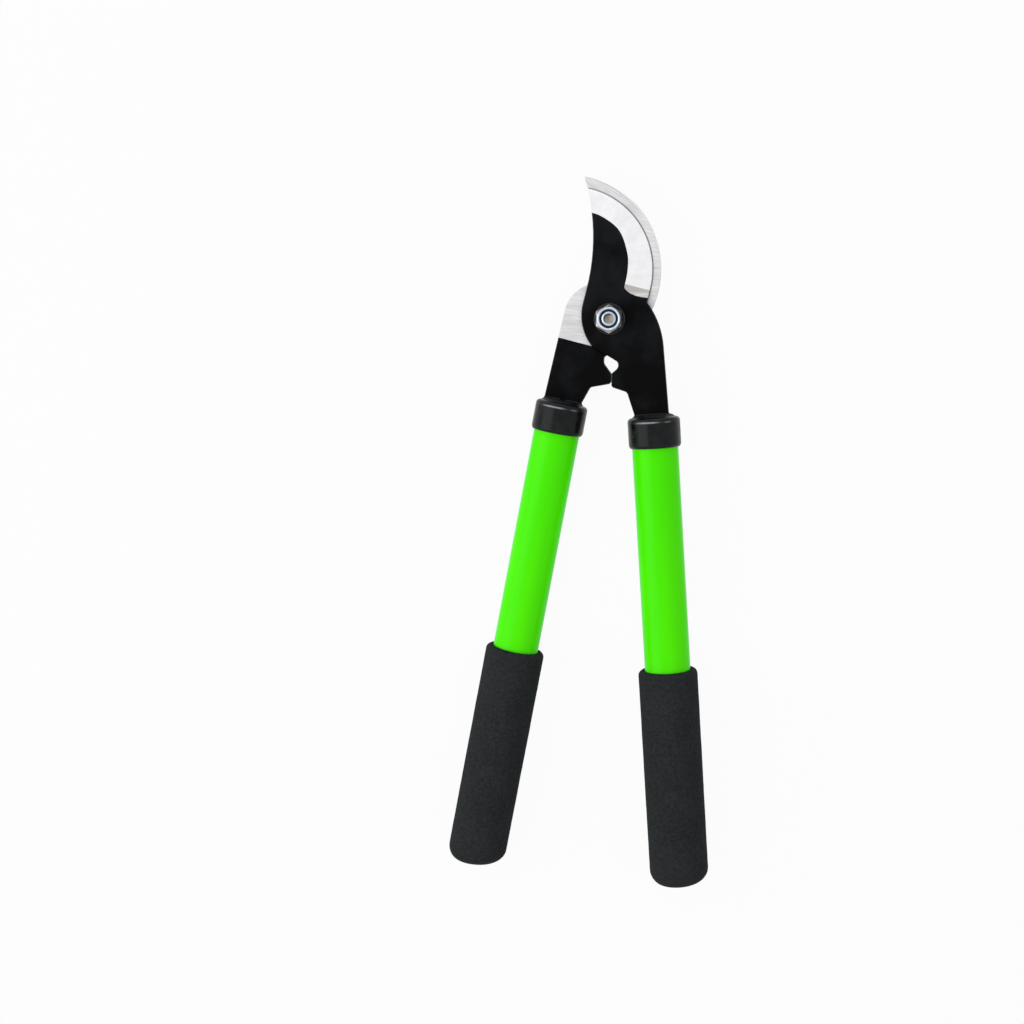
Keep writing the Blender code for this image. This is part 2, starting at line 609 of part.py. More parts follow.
def handle(side, body, collar, lean_deg, tube_shown_l, grip_l, reach, plate, plate_z):
    """One handle, on an empty at the top of its collar with -Y running down the tube."""
    axis = empty(side + "_handle", body, (*collar, 0), lean_deg)
    slot_low, slot_high = plate_z[0] - GAP, plate_z[1] + GAP
    grip_top = COLLAR_L + tube_shown_l
    grip_end = grip_top + grip_l
    plug_seat = grip_end - GRIP_END_T - GAP - END_PLUG_HEAD_T
    tube_end = plug_seat - GAP

    cap = solid(side + "_collar", turned(collar_profile(), TURN_SIDES, "Y"), axis, COLLAR_PLASTIC)
    slot_ends = reach if lean_deg < 0 else reach[::-1]
    left_end, right_end = -slot_ends[1] - GAP, slot_ends[0] + GAP
    mouth = box((left_end, -COLLAR_CAP_T - 2 * GAP, slot_low), (right_end, COLLAR_CAP_T, slot_high))
    boolean(cap, solid(side + "_collar_slot", mouth, axis))

    tube_profile = [(TUBE_BORE_R, TUBE_TOP), (TUBE_R, TUBE_TOP)]
    tube_profile += [(TUBE_R, tube_end), (TUBE_BORE_R, tube_end)]
    tube = solid(side + "_tube", turned(tube_profile, TURN_SIDES, "Y"), axis, GREEN_ENAMEL)

    plug_r, plug_end = TUBE_BORE_R - GAP, TUBE_TOP + TANG_PLUG_L
    plug_profile = [(0, TUBE_TOP), (plug_r, TUBE_TOP), (plug_r, plug_end), (0, plug_end)]
    plug = solid(side + "_tang_plug", turned(plug_profile, TURN_SIDES, "Y"), axis, PLUG_PLASTIC)
    half = TAIL_W / 2 + GAP
    through = box((-half, -plug_end - COLLAR_CAP_T, slot_low), (half, 0, slot_high))
    boolean(plug, solid(side + "_plug_slot", through, axis))

    # The pin crosses tube, plug and tang under the collar, and is flush with the tube.
    pin_r = PIN_D / 2
    reach = math.sqrt(TUBE_R**2 - pin_r**2)
    pin_place = (0, -TUBE_TOP - PIN_DEPTH, 0)
    solid(side + "_tube_pin", rod(pin_r, -reach, reach), axis, PIN_STEEL).location = pin_place
    drill = solid(side + "_pin_drill", rod(pin_r + GAP, -TUBE_D, TUBE_D), axis)
    drill.location = pin_place
    for drilled in (tube, plug, plate):
        boolean(drilled, drill)

    solid(side + "_grip", turned(grip_profile(grip_top, grip_end), TURN_SIDES, "Y"), axis, FOAM)
    solid(side + "_end_plug", turned(end_plug_profile(plug_seat), TURN_SIDES, "Y"), axis, PLUG_PLASTIC)


handle(
    "left", hook_side, LEFT_COLLAR, -LEFT_SPLAY_DEG, LEFT_TUBE_SHOWN_L, LEFT_GRIP_L,
    HOOK_TANG, hook_blade, HOOK_Z,
)
handle(
    "right", blade_side, RIGHT_COLLAR, RIGHT_SPLAY_DEG, RIGHT_TUBE_SHOWN_L, RIGHT_GRIP_L,
    BLADE_TANG, cutting_blade, BLADE_Z,
)
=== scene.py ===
import math
from collections import namedtuple

import bmesh
import bpy
from mathutils import Matrix, Vector, noise


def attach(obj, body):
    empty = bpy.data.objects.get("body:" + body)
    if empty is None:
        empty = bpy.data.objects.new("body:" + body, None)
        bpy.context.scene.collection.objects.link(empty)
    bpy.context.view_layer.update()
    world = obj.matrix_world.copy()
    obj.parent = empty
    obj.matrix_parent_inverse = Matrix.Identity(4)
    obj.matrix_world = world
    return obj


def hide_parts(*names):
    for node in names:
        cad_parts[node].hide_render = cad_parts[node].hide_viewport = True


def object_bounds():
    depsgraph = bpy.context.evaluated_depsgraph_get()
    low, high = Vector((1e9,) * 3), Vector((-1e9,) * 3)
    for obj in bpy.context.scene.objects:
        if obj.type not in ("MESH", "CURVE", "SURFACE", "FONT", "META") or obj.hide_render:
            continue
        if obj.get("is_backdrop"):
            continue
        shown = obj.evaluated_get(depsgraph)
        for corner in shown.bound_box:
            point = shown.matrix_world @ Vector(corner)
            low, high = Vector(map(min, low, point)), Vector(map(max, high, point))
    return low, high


# The lopper lies on its grips with the blades shut. Lengths are in metres.
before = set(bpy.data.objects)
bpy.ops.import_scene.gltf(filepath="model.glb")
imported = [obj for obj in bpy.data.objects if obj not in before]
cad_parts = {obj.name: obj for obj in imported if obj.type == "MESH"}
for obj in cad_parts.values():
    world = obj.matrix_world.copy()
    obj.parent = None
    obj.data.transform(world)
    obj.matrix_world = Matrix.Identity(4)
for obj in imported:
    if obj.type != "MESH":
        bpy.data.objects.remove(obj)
cad_low, cad_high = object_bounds()


# Hook: a flat steel plate, blacked all over, whose front is then ground bright above its tang.
# Its crescent stands out past the shut blade, and its tang goes down into the left tube.


class Shade:
    """A socket of a finish. Arithmetic on it adds Math nodes, and node() adds any other kind."""

    def __init__(self, tree, socket=None):
        self.tree = tree
        self.socket = socket

    def node(self, kind, inputs, output=0, **settings):
        """A new node of a kind, with its settings and the values or links of its sockets."""
        made = self.tree.nodes.new("ShaderNode" + kind)
        for name, value in settings.items():
            setattr(made, name, value)
        for name, value in inputs.items():
            if isinstance(value, Shade):
                self.tree.links.new(value.socket, made.inputs[name])
            else:
                made.inputs[name].default_value = value
        return Shade(self.tree, made.outputs[output])

    def maths(self, operation, *values):
        return self.node("Math", dict(enumerate(values)), operation=operation)

    def __add__(self, other):
        return self.maths("ADD", self, other)

    def __radd__(self, other):
        return self.maths("ADD", other, self)

    def __sub__(self, other):
        return self.maths("SUBTRACT", self, other)

    def __rsub__(self, other):
        return self.maths("SUBTRACT", other, self)

    def __mul__(self, other):
        return self.maths("MULTIPLY", self, other)

    def __rmul__(self, other):
        return self.maths("MULTIPLY", other, self)

    def above(self, low, high):
        """0 up to low and 1 from high on, with a soft step between them."""
        limits = {"Value": self, "From Min": low, "From Max": high}
        return self.node("MapRange", limits, interpolation_type="SMOOTHSTEP")

    def spread(self, low, high):
        """Carries 0 to 1 over to low to high."""
        return self.node("MapRange", {"Value": self, "To Min": low, "To Max": high})

    def colour(self, first, second):
        """From the first colour where this is 0 to the second where it is 1."""
        return self.node("Mix", {0: self, 6: first, 7: second}, 2, data_type="RGBA")

    def axes(self):
        return [self.node("SeparateXYZ", {0: self}, i) for i in range(3)]

    def at(self, x, y, z=0.0):
        """A place put together from its three values."""
        return self.node("CombineXYZ", {0: x, 1: y, 2: z})

    def distance(self, point):
        return self.node("VectorMath", {0: self, 1: point}, "Value", operation="DISTANCE")

    def grain(self, scale, detail=3.0, roughness=0.5):
        """Noise with about scale lumps to the metre."""
        sizes = {"Vector": self, "Scale": scale, "Detail": detail, "Roughness": roughness}
        return self.node("TexNoise", sizes)

    def bumped(self, height, strength=1.0):
        """A normal from a height in metres."""
        return self.node("Bump", {"Height": height, "Strength": strength, "Distance": 1.0})


def material(name, even):
    """A new material with its even values set on the shader, and a point's place on its piece."""
    made = bpy.data.materials.new(name)
    made.use_nodes = True
    shader = made.node_tree.nodes["Principled BSDF"]
    for socket, value in even.items():
        shader.inputs[socket].default_value = value
    return made, Shade(made.node_tree).node("TexCoord", {}, "Object")


def vary(made, uneven):
    """Links what changes over the surface to the shader."""
    shader = made.node_tree.nodes["Principled BSDF"]
    for socket, value in uneven.items():
        made.node_tree.links.new(value.socket, shader.inputs[socket])


def grey(value, warmth=0.0, rose=0.0):
    """A grey that warmth moves from blue towards red, and rose away from green."""
    return (value * (1 + warmth), value * (1 - rose), value * (1 - warmth), 1.0)


# Both plates have a full coat on their flats and a thin one on their rounded rims, whose lighter
# grey is partly painted highlight. Each is given by its darkest and its lightest grey and by its gloss.
FULL_COAT = (0.0003, 0.0120, 0.045)
RIM_COAT_AND_HIGHLIGHT = (0.025, 0.060, 0.30)


def blacking(name, dark, light, gloss):
    """The plates' thin satin coat, with painted light that makes it greyer towards the blades and the left,
    over a random cloud, and a fine grain.
    """
    coat, place = material(name, {"Specular IOR Level": gloss})
    x, y = place.axes()[:2]
    # The cloud is partly painted light: its slope in x and y lightens the coat, and makes it glossier,
    # towards the blades and the left.
    cloud = (place.grain(60.0, 4.0) + 3.0 * y - 4.0 * x).above(0.36, 0.72)
    grain = place.grain(2600.0, 2.0)
    vary(coat, {
        "Base Color": (0.8 * cloud + 0.2 * grain).colour(grey(dark, -0.05), grey(light, -0.12, 0.05)),
        "Roughness": (0.6 * cloud + 0.4 * grain).spread(0.50, 0.36),
        "Normal": place.bumped(0.00002 * grain + 0.00004 * place.grain(420.0)),
    })
    return coat


# The grinder's lines run almost straight across the hook, and bend down towards its tip.
# There are fine and broad ones, given in lumps to the metre along a line and across it.
LINE_SLOPE = 0.12
LINE_BEND = 14.0
BEND_FROM_Y = 0.030
FINE_LINES = (75.0, 1500.0)
BROAD_LINES = (30.0, 420.0)

hook_ground, place = material("hook_ground_steel", {"Specular IOR Level": 0.04})
x, y = place.axes()[:2]
bend = place.maths("MAXIMUM", y - BEND_FROM_Y, 0.0)
across = y + LINE_SLOPE * x + LINE_BEND * (x * bend)
fine = place.at(x * FINE_LINES[0], across * FINE_LINES[1]).grain(1.0, 3.0, 0.65)
broad = place.at(x * BROAD_LINES[0], across * BROAD_LINES[1]).grain(1.0, 2.0)
tone = 0.65 * fine + 0.30 * broad + 0.20 * place.grain(70.0, 2.0)
bright = tone.above(0.38, 0.78).colour(grey(0.53, -0.005, 0.01), grey(0.78, -0.005, 0.015))

# Towards the tip a narrow band along the crescent's outer edge is painted brighter as a painted
# highlight of the edge, with a darker, warmer line where it ends. Their limits are depths in from
# the edge.
HOOK_CENTRE = (-0.0230, 0.0253, 0.0)
HOOK_R = 0.04905
TIP_Y = (0.050, 0.066)
HIGHLIGHT_BAND_END = (0.0008, 0.0011)
DARK_LINE_START = (0.0007, 0.0010)
DARK_LINE_END = (0.0010, 0.0014)

from_rim = HOOK_R - place.at(x, y).distance(HOOK_CENTRE)
near_tip = y.above(*TIP_Y)
# The brighter band is a painted highlight along the crescent's edge.
highlight_band = near_tip * (1.0 - from_rim.above(*HIGHLIGHT_BAND_END))
dark_line = near_tip * from_rim.above(*DARK_LINE_START) * (1.0 - from_rim.above(*DARK_LINE_END))
bright = highlight_band.colour(bright, grey(0.86))
bright = (0.6 * dark_line).colour(bright, grey(0.36, 0.10))

# Below the blade's boss a narrow strip of the ground face is painted over. It starts at the
# boss's end, and its limits are distances from there.
BOSS_END = (-0.0093, -0.0137)
BOSS_DOWN = (-0.520, -0.854)
STRIP_TOP = (-0.0003, -0.0001)
STRIP_SIDE = 0.0003

beyond = BOSS_DOWN[0] * (x - BOSS_END[0]) + BOSS_DOWN[1] * (y - BOSS_END[1])
bare = 1.0 - beyond.above(*STRIP_TOP) * x.above(BOSS_END[0] - STRIP_SIDE, BOSS_END[0])
vary(hook_ground, {
    "Base Color": bare.colour(grey(0.0012), bright),
    "Metallic": bare,
    "Roughness": fine.spread(0.34, 0.50),
    "Normal": place.bumped(0.000014 * fine + 0.00001 * broad),
})

# The plates turn on the pivot, whose height is that of the plane where they cross.
PIVOT = Vector((0.0152, 0.1131, 0.0156))
AT_PIVOT = Matrix.Translation(PIVOT)
MERGE = 2e-6
SLIVER = 1e-6
FACES_UP = 0.5
BLEND_DEG = 24


def clean_plate(name, node, body, finishes, zone_of, as_one):
    """A plate's packed facets joined into one smooth skin, with a finish for each of its zones.

    zone_of names a face's zone from its middle, its normal and its lowest height. On the
    front, the zones in as_one are shaded as one surface, with a crease round them."""
    zones = list(finishes)
    built = bmesh.new()
    built.from_mesh(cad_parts[node].data)
    bmesh.ops.remove_doubles(built, verts=built.verts, dist=MERGE)
    bmesh.ops.dissolve_degenerate(built, edges=built.edges, dist=SLIVER)
    bmesh.ops.translate(built, verts=built.verts, vec=-PIVOT)
    built.normal_update()
    for face in built.faces:
        face.smooth = True
        lowest = min(corner.co.z for corner in face.verts)
        zone = zone_of(face.calc_center_median(), face.normal, lowest)
        face.material_index = zones.index(zone)
    for edge in built.edges:
        sides = {
            zones[face.material_index] in as_one and face.normal.z > FACES_UP
            for face in edge.link_faces
        }
        edge.smooth = len(sides) == 1 and edge.calc_face_angle(0.0) < math.radians(BLEND_DEG)
    mesh = bpy.data.meshes.new(name)
    built.to_mesh(mesh)
    built.free()
    for look in finishes.values():
        mesh.materials.append(look)
    made = bpy.data.objects.new(name, mesh)
    made.matrix_world = AT_PIVOT
    bpy.context.scene.collection.objects.link(made)
    weighted = made.modifiers.new("flat_faces_stay_flat", "WEIGHTED_NORMAL")
    weighted.keep_sharp = True
    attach(made, body)
    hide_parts(node)


# A face's zone is told by how far its normal stands up or down, and by whether it lies where the
# plates face each other, at half their gap from the plane where they cross.
FLAT = 0.9
UPRIGHT = 0.05
ON_RIM = (0.1, 0.99)
SHEAR_GAP = 0.00015
PLAY = 0.00002


def rounded_rim(normal):
    return ON_RIM[0] < abs(normal.z) < ON_RIM[1]


def hook_zone(middle, normal, lowest):
    """The ground face with the step up to it, the rounded rims with their thin coat and painted highlight,
    or the coat.
    """
    ground = normal.z > FLAT and abs(middle.z + SHEAR_GAP) < PLAY
    step = abs(normal.z) < UPRIGHT and lowest > -SHEAR_GAP - PLAY
    if ground or step:
        return "ground"
    return "rim" if rounded_rim(normal) else "coat"


hook_finishes = {
    "coat": blacking("hook_blacking", *FULL_COAT),
    "ground": hook_ground,
    "rim": blacking("hook_rim_blacking_and_highlight", *RIM_COAT_AND_HIGHLIGHT),
}
hook_front = ("ground", "rim")
clean_plate("hook", "hook_blade", "hook_side", hook_finishes, hook_zone, hook_front)


# Cutting blade: the same plate stock, with a wide bevel ground along its curved edge.
# A narrow honed strip makes the edge, its steel painted dark as painted shade along the edge, and
# at the heel the bevel runs out in a short hollow, which goes on past the border's end by the first
# length of RUN_OUT and past the edge's by the second.
EDGE_CENTRE = Vector((-0.0209, 0.0250))
EDGE_R = 0.04315
EDGE_DEG = (82.0, -12.8)
PAST_EDGE = 1.02
BORDER = (
    (-0.0140, 0.0548), (-0.0052, 0.0525), (0.0045, 0.0451),
    (0.0089, 0.0335), (0.0091, 0.0245), (0.0076, 0.0167),
)
RUN_OUT = (0.0015, 0.0050)
HONED_W = 0.0007
BLADE_TOP = 0.0040
BEVEL_TILT = 0.3
FACING_HOOK = 0.98
STEPS = 60


def on_border(share):
    """A point on the smooth curve through the bevel's border points."""
    ends = [Vector(point) for point in BORDER]
    ends = [2 * ends[0] - ends[1], *ends, 2 * ends[-1] - ends[-2]]
    along = share * (len(BORDER) - 1)
    k = min(int(along), len(BORDER) - 2)
    t = along - k
    a, b, c, d = ends[k:k + 4]
    return 0.5 * (2 * b + (c - a) * t + (2 * a - 5 * b + 4 * c - d) * t**2 + (3 * b - a - 3 * c + d) * t**3)


def past_edge(share):
    """A point a little outside the cutting edge."""
    angle = math.radians(EDGE_DEG[0] + (EDGE_DEG[1] - EDGE_DEG[0]) * share)
    return EDGE_CENTRE + PAST_EDGE * EDGE_R * Vector((math.cos(angle), math.sin(angle)))


def inside(point, outline):
    """Whether a line from the point towards +X crosses the outline an odd number of times."""
    crossings = 0
    for a, b in zip(outline, outline[1:] + outline[:1]):
        if (a.y > point.y) != (b.y > point.y):
            crossings += point.x < a.x + (point.y - a.y) * (b.x - a.x) / (b.y - a.y)
    return crossings % 2 == 1


def last_step(line):
    """The direction in which a line of points ends."""
    return (line[-1] - line[-2]).normalized()


shares = [i / STEPS for i in range(STEPS + 1)]
border = [on_border(share) for share in shares]
outside = [past_edge(share) for share in shares]
onwards = (last_step(border) + last_step(outside)).normalized()
heel = []
for share in shares:
    reach = RUN_OUT[0] + (RUN_OUT[1] - RUN_OUT[0]) * (1 - (1 - share) ** 3)
    heel.append(border[-1].lerp(outside[-1], share) + onwards * reach)
bevel_area = border + heel + outside[::-1]


def blade_zone(middle, normal, lowest):
    """The ground back and bevel, the honed strip, the rounded rims with their thin coat and painted
    highlight, or the coat.

    Below the boss, where the rim faces the hook, it keeps the full coat and has no painted highlight."""
    if normal.z < -FLAT and abs(middle.z - SHEAR_GAP) < PLAY:
        return "ground"
    if normal.z > BEVEL_TILT and lowest < BLADE_TOP - SLIVER and inside(middle.xy, bevel_area):
        return "honed" if (middle.xy - EDGE_CENTRE).length > EDGE_R - HONED_W else "ground"
    # Where the rim faces the hook below the boss it keeps the full coat, without the rim's painted
    # highlight.
    faces_hook = BOSS_DOWN[0] * normal.x + BOSS_DOWN[1] * normal.y > FACING_HOOK * normal.xy.length
    return "rim" if rounded_rim(normal) and not faces_hook else "coat"


# The bevel's lines run across the edge. Its run-out at the heel is painted darker, as painted
# shade of its hollow, and is a little warmer and duller.
# The lines are given in lumps to the metre outwards and to the radian round the edge's centre.
BEVEL_FINE = (110.0, 80.0)
BEVEL_BROAD = (90.0, 12.0)
HEEL_DEG = (-14.7, -13.5)


def bevel_steel(name, dark, light, smooth, rough):
    """Ground steel between two greys and two roughnesses."""
    ground, place = material(name, {"Metallic": 1.0})
    x, y = place.axes()[:2]
    from_centre = place.at(x, y).distance((*EDGE_CENTRE, 0.0))
    angle = place.maths("ARCTAN2", y - EDGE_CENTRE.y, x - EDGE_CENTRE.x)
    fine = place.at(from_centre * BEVEL_FINE[0], angle * BEVEL_FINE[1]).grain(1.0, 3.0, 0.6)
    broad = place.at(from_centre * BEVEL_BROAD[0], angle * BEVEL_BROAD[1]).grain(1.0, 2.0)
    tone = 0.3 * fine + 0.3 * broad + 0.4 * place.grain(190.0, 3.0)
    # The run-out's darker grey is painted shade of its hollow.
    run_out_shade = 1.0 - angle.above(math.radians(HEEL_DEG[0]), math.radians(HEEL_DEG[1]))
    bright = tone.above(0.30, 0.70).colour(grey(dark, -0.005, 0.01), grey(light, -0.01, 0.015))
    vary(ground, {
        "Base Color": run_out_shade.colour(bright, grey(0.56 * dark, 0.04)),
        "Roughness": fine.spread(smooth, rough) + 0.1 * run_out_shade,
        "Normal": place.bumped(0.000008 * fine + 0.000012 * broad),
    })
    return ground


blade_finishes = {
    "coat": blacking("blade_blacking", *FULL_COAT),
    "ground": bevel_steel("bevel_ground_steel", 0.80, 0.92, 0.26, 0.38),
    # The honed strip's dark greys are painted shade along the cutting edge.
    "honed": bevel_steel("honed_edge_painted_shade", 0.20, 0.27, 0.46, 0.56),
    "rim": blacking("blade_rim_blacking_and_highlight", *RIM_COAT_AND_HIGHLIGHT),
}
blade_front = ("ground", "honed")
clean_plate("blade", "cutting_blade", "blade_side", blade_finishes, blade_zone, blade_front)


# Pivot bolt: a hexagon-headed bolt of zinc-plated steel, put through both plates from the back.
# Its thread is rolled, and its end, inside the nut, has a bright chamfer round a duller dish,
# which is painted darker towards its upper left as painted shade.
# Heights are from the plane where the plates cross.
HEX_FLATS = 0.0130
HEX_FACE_R = 0.475 * HEX_FLATS
HEX_POINT_R = HEX_FLATS / math.sqrt(3)
HEX_ROUND = 0.0004
HEX_CHAMFER_H = 0.0008
BOLT_R = 0.0040
THREAD_PITCH = 0.00125
THREAD_DEPTH = 0.0005
THREAD_PLAY = 0.00003
THREAD_FROM = 0.0085
THREAD_STEPS = 40
HEAD_LOW = -0.0115
HEAD_INNER_R = 0.0010
BOLT_END = 0.0138
BOLT_CHAMFER = 0.0011
CHAMFER_FOOT = 0.0001
DISH_R = 0.0028
DISH_H = 0.0010
DISH_LIP = 0.0002
DISH_BLUR = 0.0003
PLATE_FAR = 0.0040
WASHER_T = 0.0016
SEAT_PLAY = 0.00005
HARDWARE_SIDES = 96
CREASE_DEG = 30.0
ON_AXIS = (0.0, 0.0, 0.0)


def turned(rings, sides, closed=False, down_handle=False):
    """Skins rings of (radius, length), either of which may be given by a function of the angle.

    They turn about +Z, or about -Y, which runs down a handle."""
    built = bmesh.new()
    rows = []
    for ring in rings:
        row = []
        for i in range(sides):
            angle = math.tau * i / sides
            radius, length = ring(angle) if callable(ring) else ring
            across, up = radius * math.cos(angle), radius * math.sin(angle)
            point = (across, -length, up) if down_handle else (across, up, length)
            row.append(built.verts.new(point))
        rows.append(row)
    after = rows[1:] + rows[:1] if closed else rows[1:]
    for low, high in zip(rows, after):
        for i in range(sides):
            built.faces.new((low[i - 1], low[i], high[i], high[i - 1]))
    if not closed:
        built.faces.new(rows[0])
        built.faces.new(rows[-1])
    bmesh.ops.recalc_face_normals(built, faces=built.faces)
    return built


def rounded(centre, radii, start_deg, end_deg, steps):
    """Rings round a corner, on an ellipse with these radii across and along the axis."""
    angles = [math.radians(start_deg + (end_deg - start_deg) * i / steps) for i in range(steps + 1)]
    return [(centre[0] + radii[0] * math.cos(a), centre[1] + radii[1] * math.sin(a)) for a in angles]


def fitted(name, built, look, body, node, place, crease_deg=CREASE_DEG):
    """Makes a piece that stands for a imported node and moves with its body."""
    mesh = bpy.data.meshes.new(name)
    built.to_mesh(mesh)
    built.free()
    mesh.shade_smooth()
    mesh.set_sharp_from_angle(angle=math.radians(crease_deg))
    mesh.materials.append(look)
    made = bpy.data.objects.new(name, mesh)
    made.matrix_world = place
    bpy.context.scene.collection.objects.link(made)
    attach(made, body)
    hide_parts(node)
    return made


def hex_reach(angle):
    """How far the hexagon's wall stands off its axis; two of its corners point along the tool."""
    half, inner = HEX_FLATS / 2, HEX_FLATS / 2 - HEX_ROUND
    from_flat = abs((angle + math.pi / 6) % (math.pi / 3) - math.pi / 6)
    if math.tan(from_flat) <= inner / half * math.tan(math.pi / 6):
        return half / math.cos(from_flat)
    corner, from_corner = inner / math.cos(math.pi / 6), math.pi / 6 - from_flat
    return corner * math.cos(from_corner) + math.sqrt(HEX_ROUND**2 - (corner * math.sin(from_corner)) ** 2)


def hex_ring(end, inwards):
    """Where the hexagon's wall meets the cone that chamfers its end."""

    def ring(angle):
        reach = hex_reach(angle)
        rise = max(0.0, reach - HEX_FACE_R) / (HEX_POINT_R - HEX_FACE_R)
        return reach, end + inwards * HEX_CHAMFER_H * rise

    return ring


def thread_ring(height):
    """A ring of the thread, whose crest climbs by one pitch a turn."""

    def ring(angle):
        turn = (angle / math.tau - height / THREAD_PITCH) % 1.0
        return BOLT_R - THREAD_PLAY - THREAD_DEPTH * abs(2.0 * turn - 1.0), height

    return ring


nut_seat = PLATE_FAR + SEAT_PLAY + WASHER_T
head_seat = -nut_seat
thread_to = BOLT_END - BOLT_CHAMFER
rings = [(HEAD_INNER_R, HEAD_LOW), (HEX_FACE_R, HEAD_LOW), hex_ring(HEAD_LOW, 1.0)]
rings += [hex_ring(head_seat, 0.0), (BOLT_R, head_seat), (BOLT_R, THREAD_FROM)]
for i in range(THREAD_STEPS):
    rings.append(thread_ring(THREAD_FROM + (thread_to - THREAD_FROM) * (i + 1) / THREAD_STEPS))
chamfer_centre = (BOLT_R - BOLT_CHAMFER - CHAMFER_FOOT, thread_to)
rings += rounded(chamfer_centre, (BOLT_CHAMFER, BOLT_CHAMFER), 10.0, 80.0, 7)
rings += [(DISH_R, BOLT_END)]
rings += rounded((0.0, BOLT_END), (DISH_R - DISH_LIP, -DISH_H), 10.0, 80.0, 6)

bolt_zinc, place = material("bolt_zinc_plate", {"Metallic": 1.0})
x, y, z = place.axes()
nut_end = z.above(0.0, THREAD_PITCH)
dish = nut_end * (1.0 - place.at(x, y).distance(ON_AXIS).above(DISH_R - DISH_BLUR, DISH_R))
cloud = place.grain(900.0, 3.0)
# The dish's stain is partly painted shade: it darkens towards the upper left.
stain_and_shade = (cloud + 110.0 * x - 110.0 * y).above(0.15, 0.60)
plated = cloud.above(0.3, 0.7).colour(grey(0.24), grey(0.44, 0.01))
end = cloud.colour((0.42, 0.46, 0.54, 1.0), (0.60, 0.65, 0.74, 1.0))
stained_and_shaded = stain_and_shade.colour((0.07, 0.07, 0.08, 1.0), (0.27, 0.25, 0.21, 1.0))
vary(bolt_zinc, {
    "Base Color": dish.colour(nut_end.colour(plated, end), stained_and_shaded),
    "Roughness": 0.28 + 0.22 * dish,
    "Normal": place.bumped(0.00002 * cloud * dish + 0.000006 * place.grain(2500.0)),
})
bolt_turned = turned(rings, HARDWARE_SIDES)
fitted("bolt", bolt_turned, bolt_zinc, "hook_side", "pivot_bolt", AT_PIVOT)


# Washers: one lies under the bolt's head and one under the nut. They are punched from sheet, so
# their edges are a little rounded. Their plating is painted near black as painted shade, with a
# painted highlight round the rim.
WASHER_R = 0.0080
WASHER_BORE_R = 0.0043
WASHER_ROUND = 0.0004
HIGHLIGHT_RIM = (0.0076, 0.0080)

painted_shade_plate, place = material("painted_shade_plate", {"Metallic": 1.0})
x, y = place.axes()[:2]
cloud = place.grain(600.0, 3.0)
# The rim's lighter grey is a painted highlight.
rim = place.at(x, y).distance(ON_AXIS).above(*HIGHLIGHT_RIM)
vary(painted_shade_plate, {
    "Base Color": (0.16 * rim + 0.06 * cloud).colour(grey(0.003), grey(0.50)),
    "Roughness": cloud.spread(0.30, 0.45),
    "Normal": place.bumped(0.00002 * cloud),
})

for name, node, low in (
    ("head_side_washer", "head_washer", head_seat),
    ("nut_side_washer", "nut_washer", PLATE_FAR + SEAT_PLAY),
):
    high = low + WASHER_T
    edge_r, edge = WASHER_R - WASHER_ROUND, (WASHER_ROUND, WASHER_ROUND)
    rings = [(WASHER_BORE_R, low)]
    rings += rounded((edge_r, low + WASHER_ROUND), edge, -90.0, 0.0, 5)
    rings += rounded((edge_r, high - WASHER_ROUND), edge, 0.0, 90.0, 5)
    rings += [(WASHER_BORE_R, high)]
    washer = turned(rings, HARDWARE_SIDES, closed=True)
    fitted(name, washer, painted_shade_plate, "hook_side", node, AT_PIVOT)


# Nut: a zinc-plated locking nut, screwed down on its washer. Its crown is rolled inwards over a
# nylon ring. The plating is duller and uneven on the hexagon, with painted shade towards the upper
# right and painted light towards the lower left, and a little blue on the crown, where the rolling
# has burnished it.
NUT_TOP = 0.0142
HEX_TOP = 0.0118
CROWN_R = 0.0062
CROWN_FOOT = 0.0001
MOUTH_R = 0.00475
RING_TOP = 0.0130
GROOVE_R = MOUTH_R + 0.0002
GROOVE_LOW = HEX_TOP - 0.001
GROOVE_TOP = RING_TOP + 0.0001
CROWN_FROM_Z = (HEX_TOP - 0.0002, HEX_TOP + 0.0004)
CROWN_TO_R = (0.0057, 0.0061)
TURNING_MARKS = 3800.0

nut_zinc, place = material("nut_zinc_plate", {"Metallic": 1.0})
x, y, z = place.axes()
from_axis = place.at(x, y).distance(ON_AXIS)
marks = place.at(from_axis * TURNING_MARKS, z * TURNING_MARKS).grain(1.0, 2.0)
cloud = place.grain(500.0, 3.0).above(0.35, 0.70)
crown = z.above(*CROWN_FROM_Z) * (1.0 - from_axis.above(*CROWN_TO_R))
# The patchiness is partly painted light and shade: it lightens the hexagon towards the lower left.
patchy_light_and_shade = (place.grain(500.0, 3.0) - 45.0 * x - 48.0 * y).above(0.22, 0.84)
dull_and_shaded = patchy_light_and_shade.colour((0.06, 0.06, 0.06, 1.0), (0.36, 0.36, 0.32, 1.0))
burnished = cloud.colour((0.52, 0.56, 0.64, 1.0), (0.66, 0.71, 0.80, 1.0))
vary(nut_zinc, {
    "Base Color": crown.colour(dull_and_shaded, burnished),
    "Roughness": (0.5 * cloud + 0.5 * marks).spread(0.22, 0.34),
    "Normal": place.bumped(0.000006 * marks + 0.00001 * cloud),
})

lip_r = (CROWN_R - MOUTH_R) / 2
rings = [(BOLT_R, nut_seat), (HEX_FACE_R, nut_seat), hex_ring(nut_seat, 1.0), hex_ring(HEX_TOP, -1.0)]
rings += [(HEX_FACE_R + CROWN_FOOT, HEX_TOP)]
rings += rounded((CROWN_R - lip_r, NUT_TOP - lip_r), (lip_r, lip_r), 0.0, 200.0, 16)
rings += [(GROOVE_R, GROOVE_TOP), (GROOVE_R, GROOVE_LOW), (BOLT_R, GROOVE_LOW)]
nut_turned = turned(rings, HARDWARE_SIDES, closed=True)
fitted("nut", nut_turned, nut_zinc, "hook_side", "pivot_nut", AT_PIVOT)


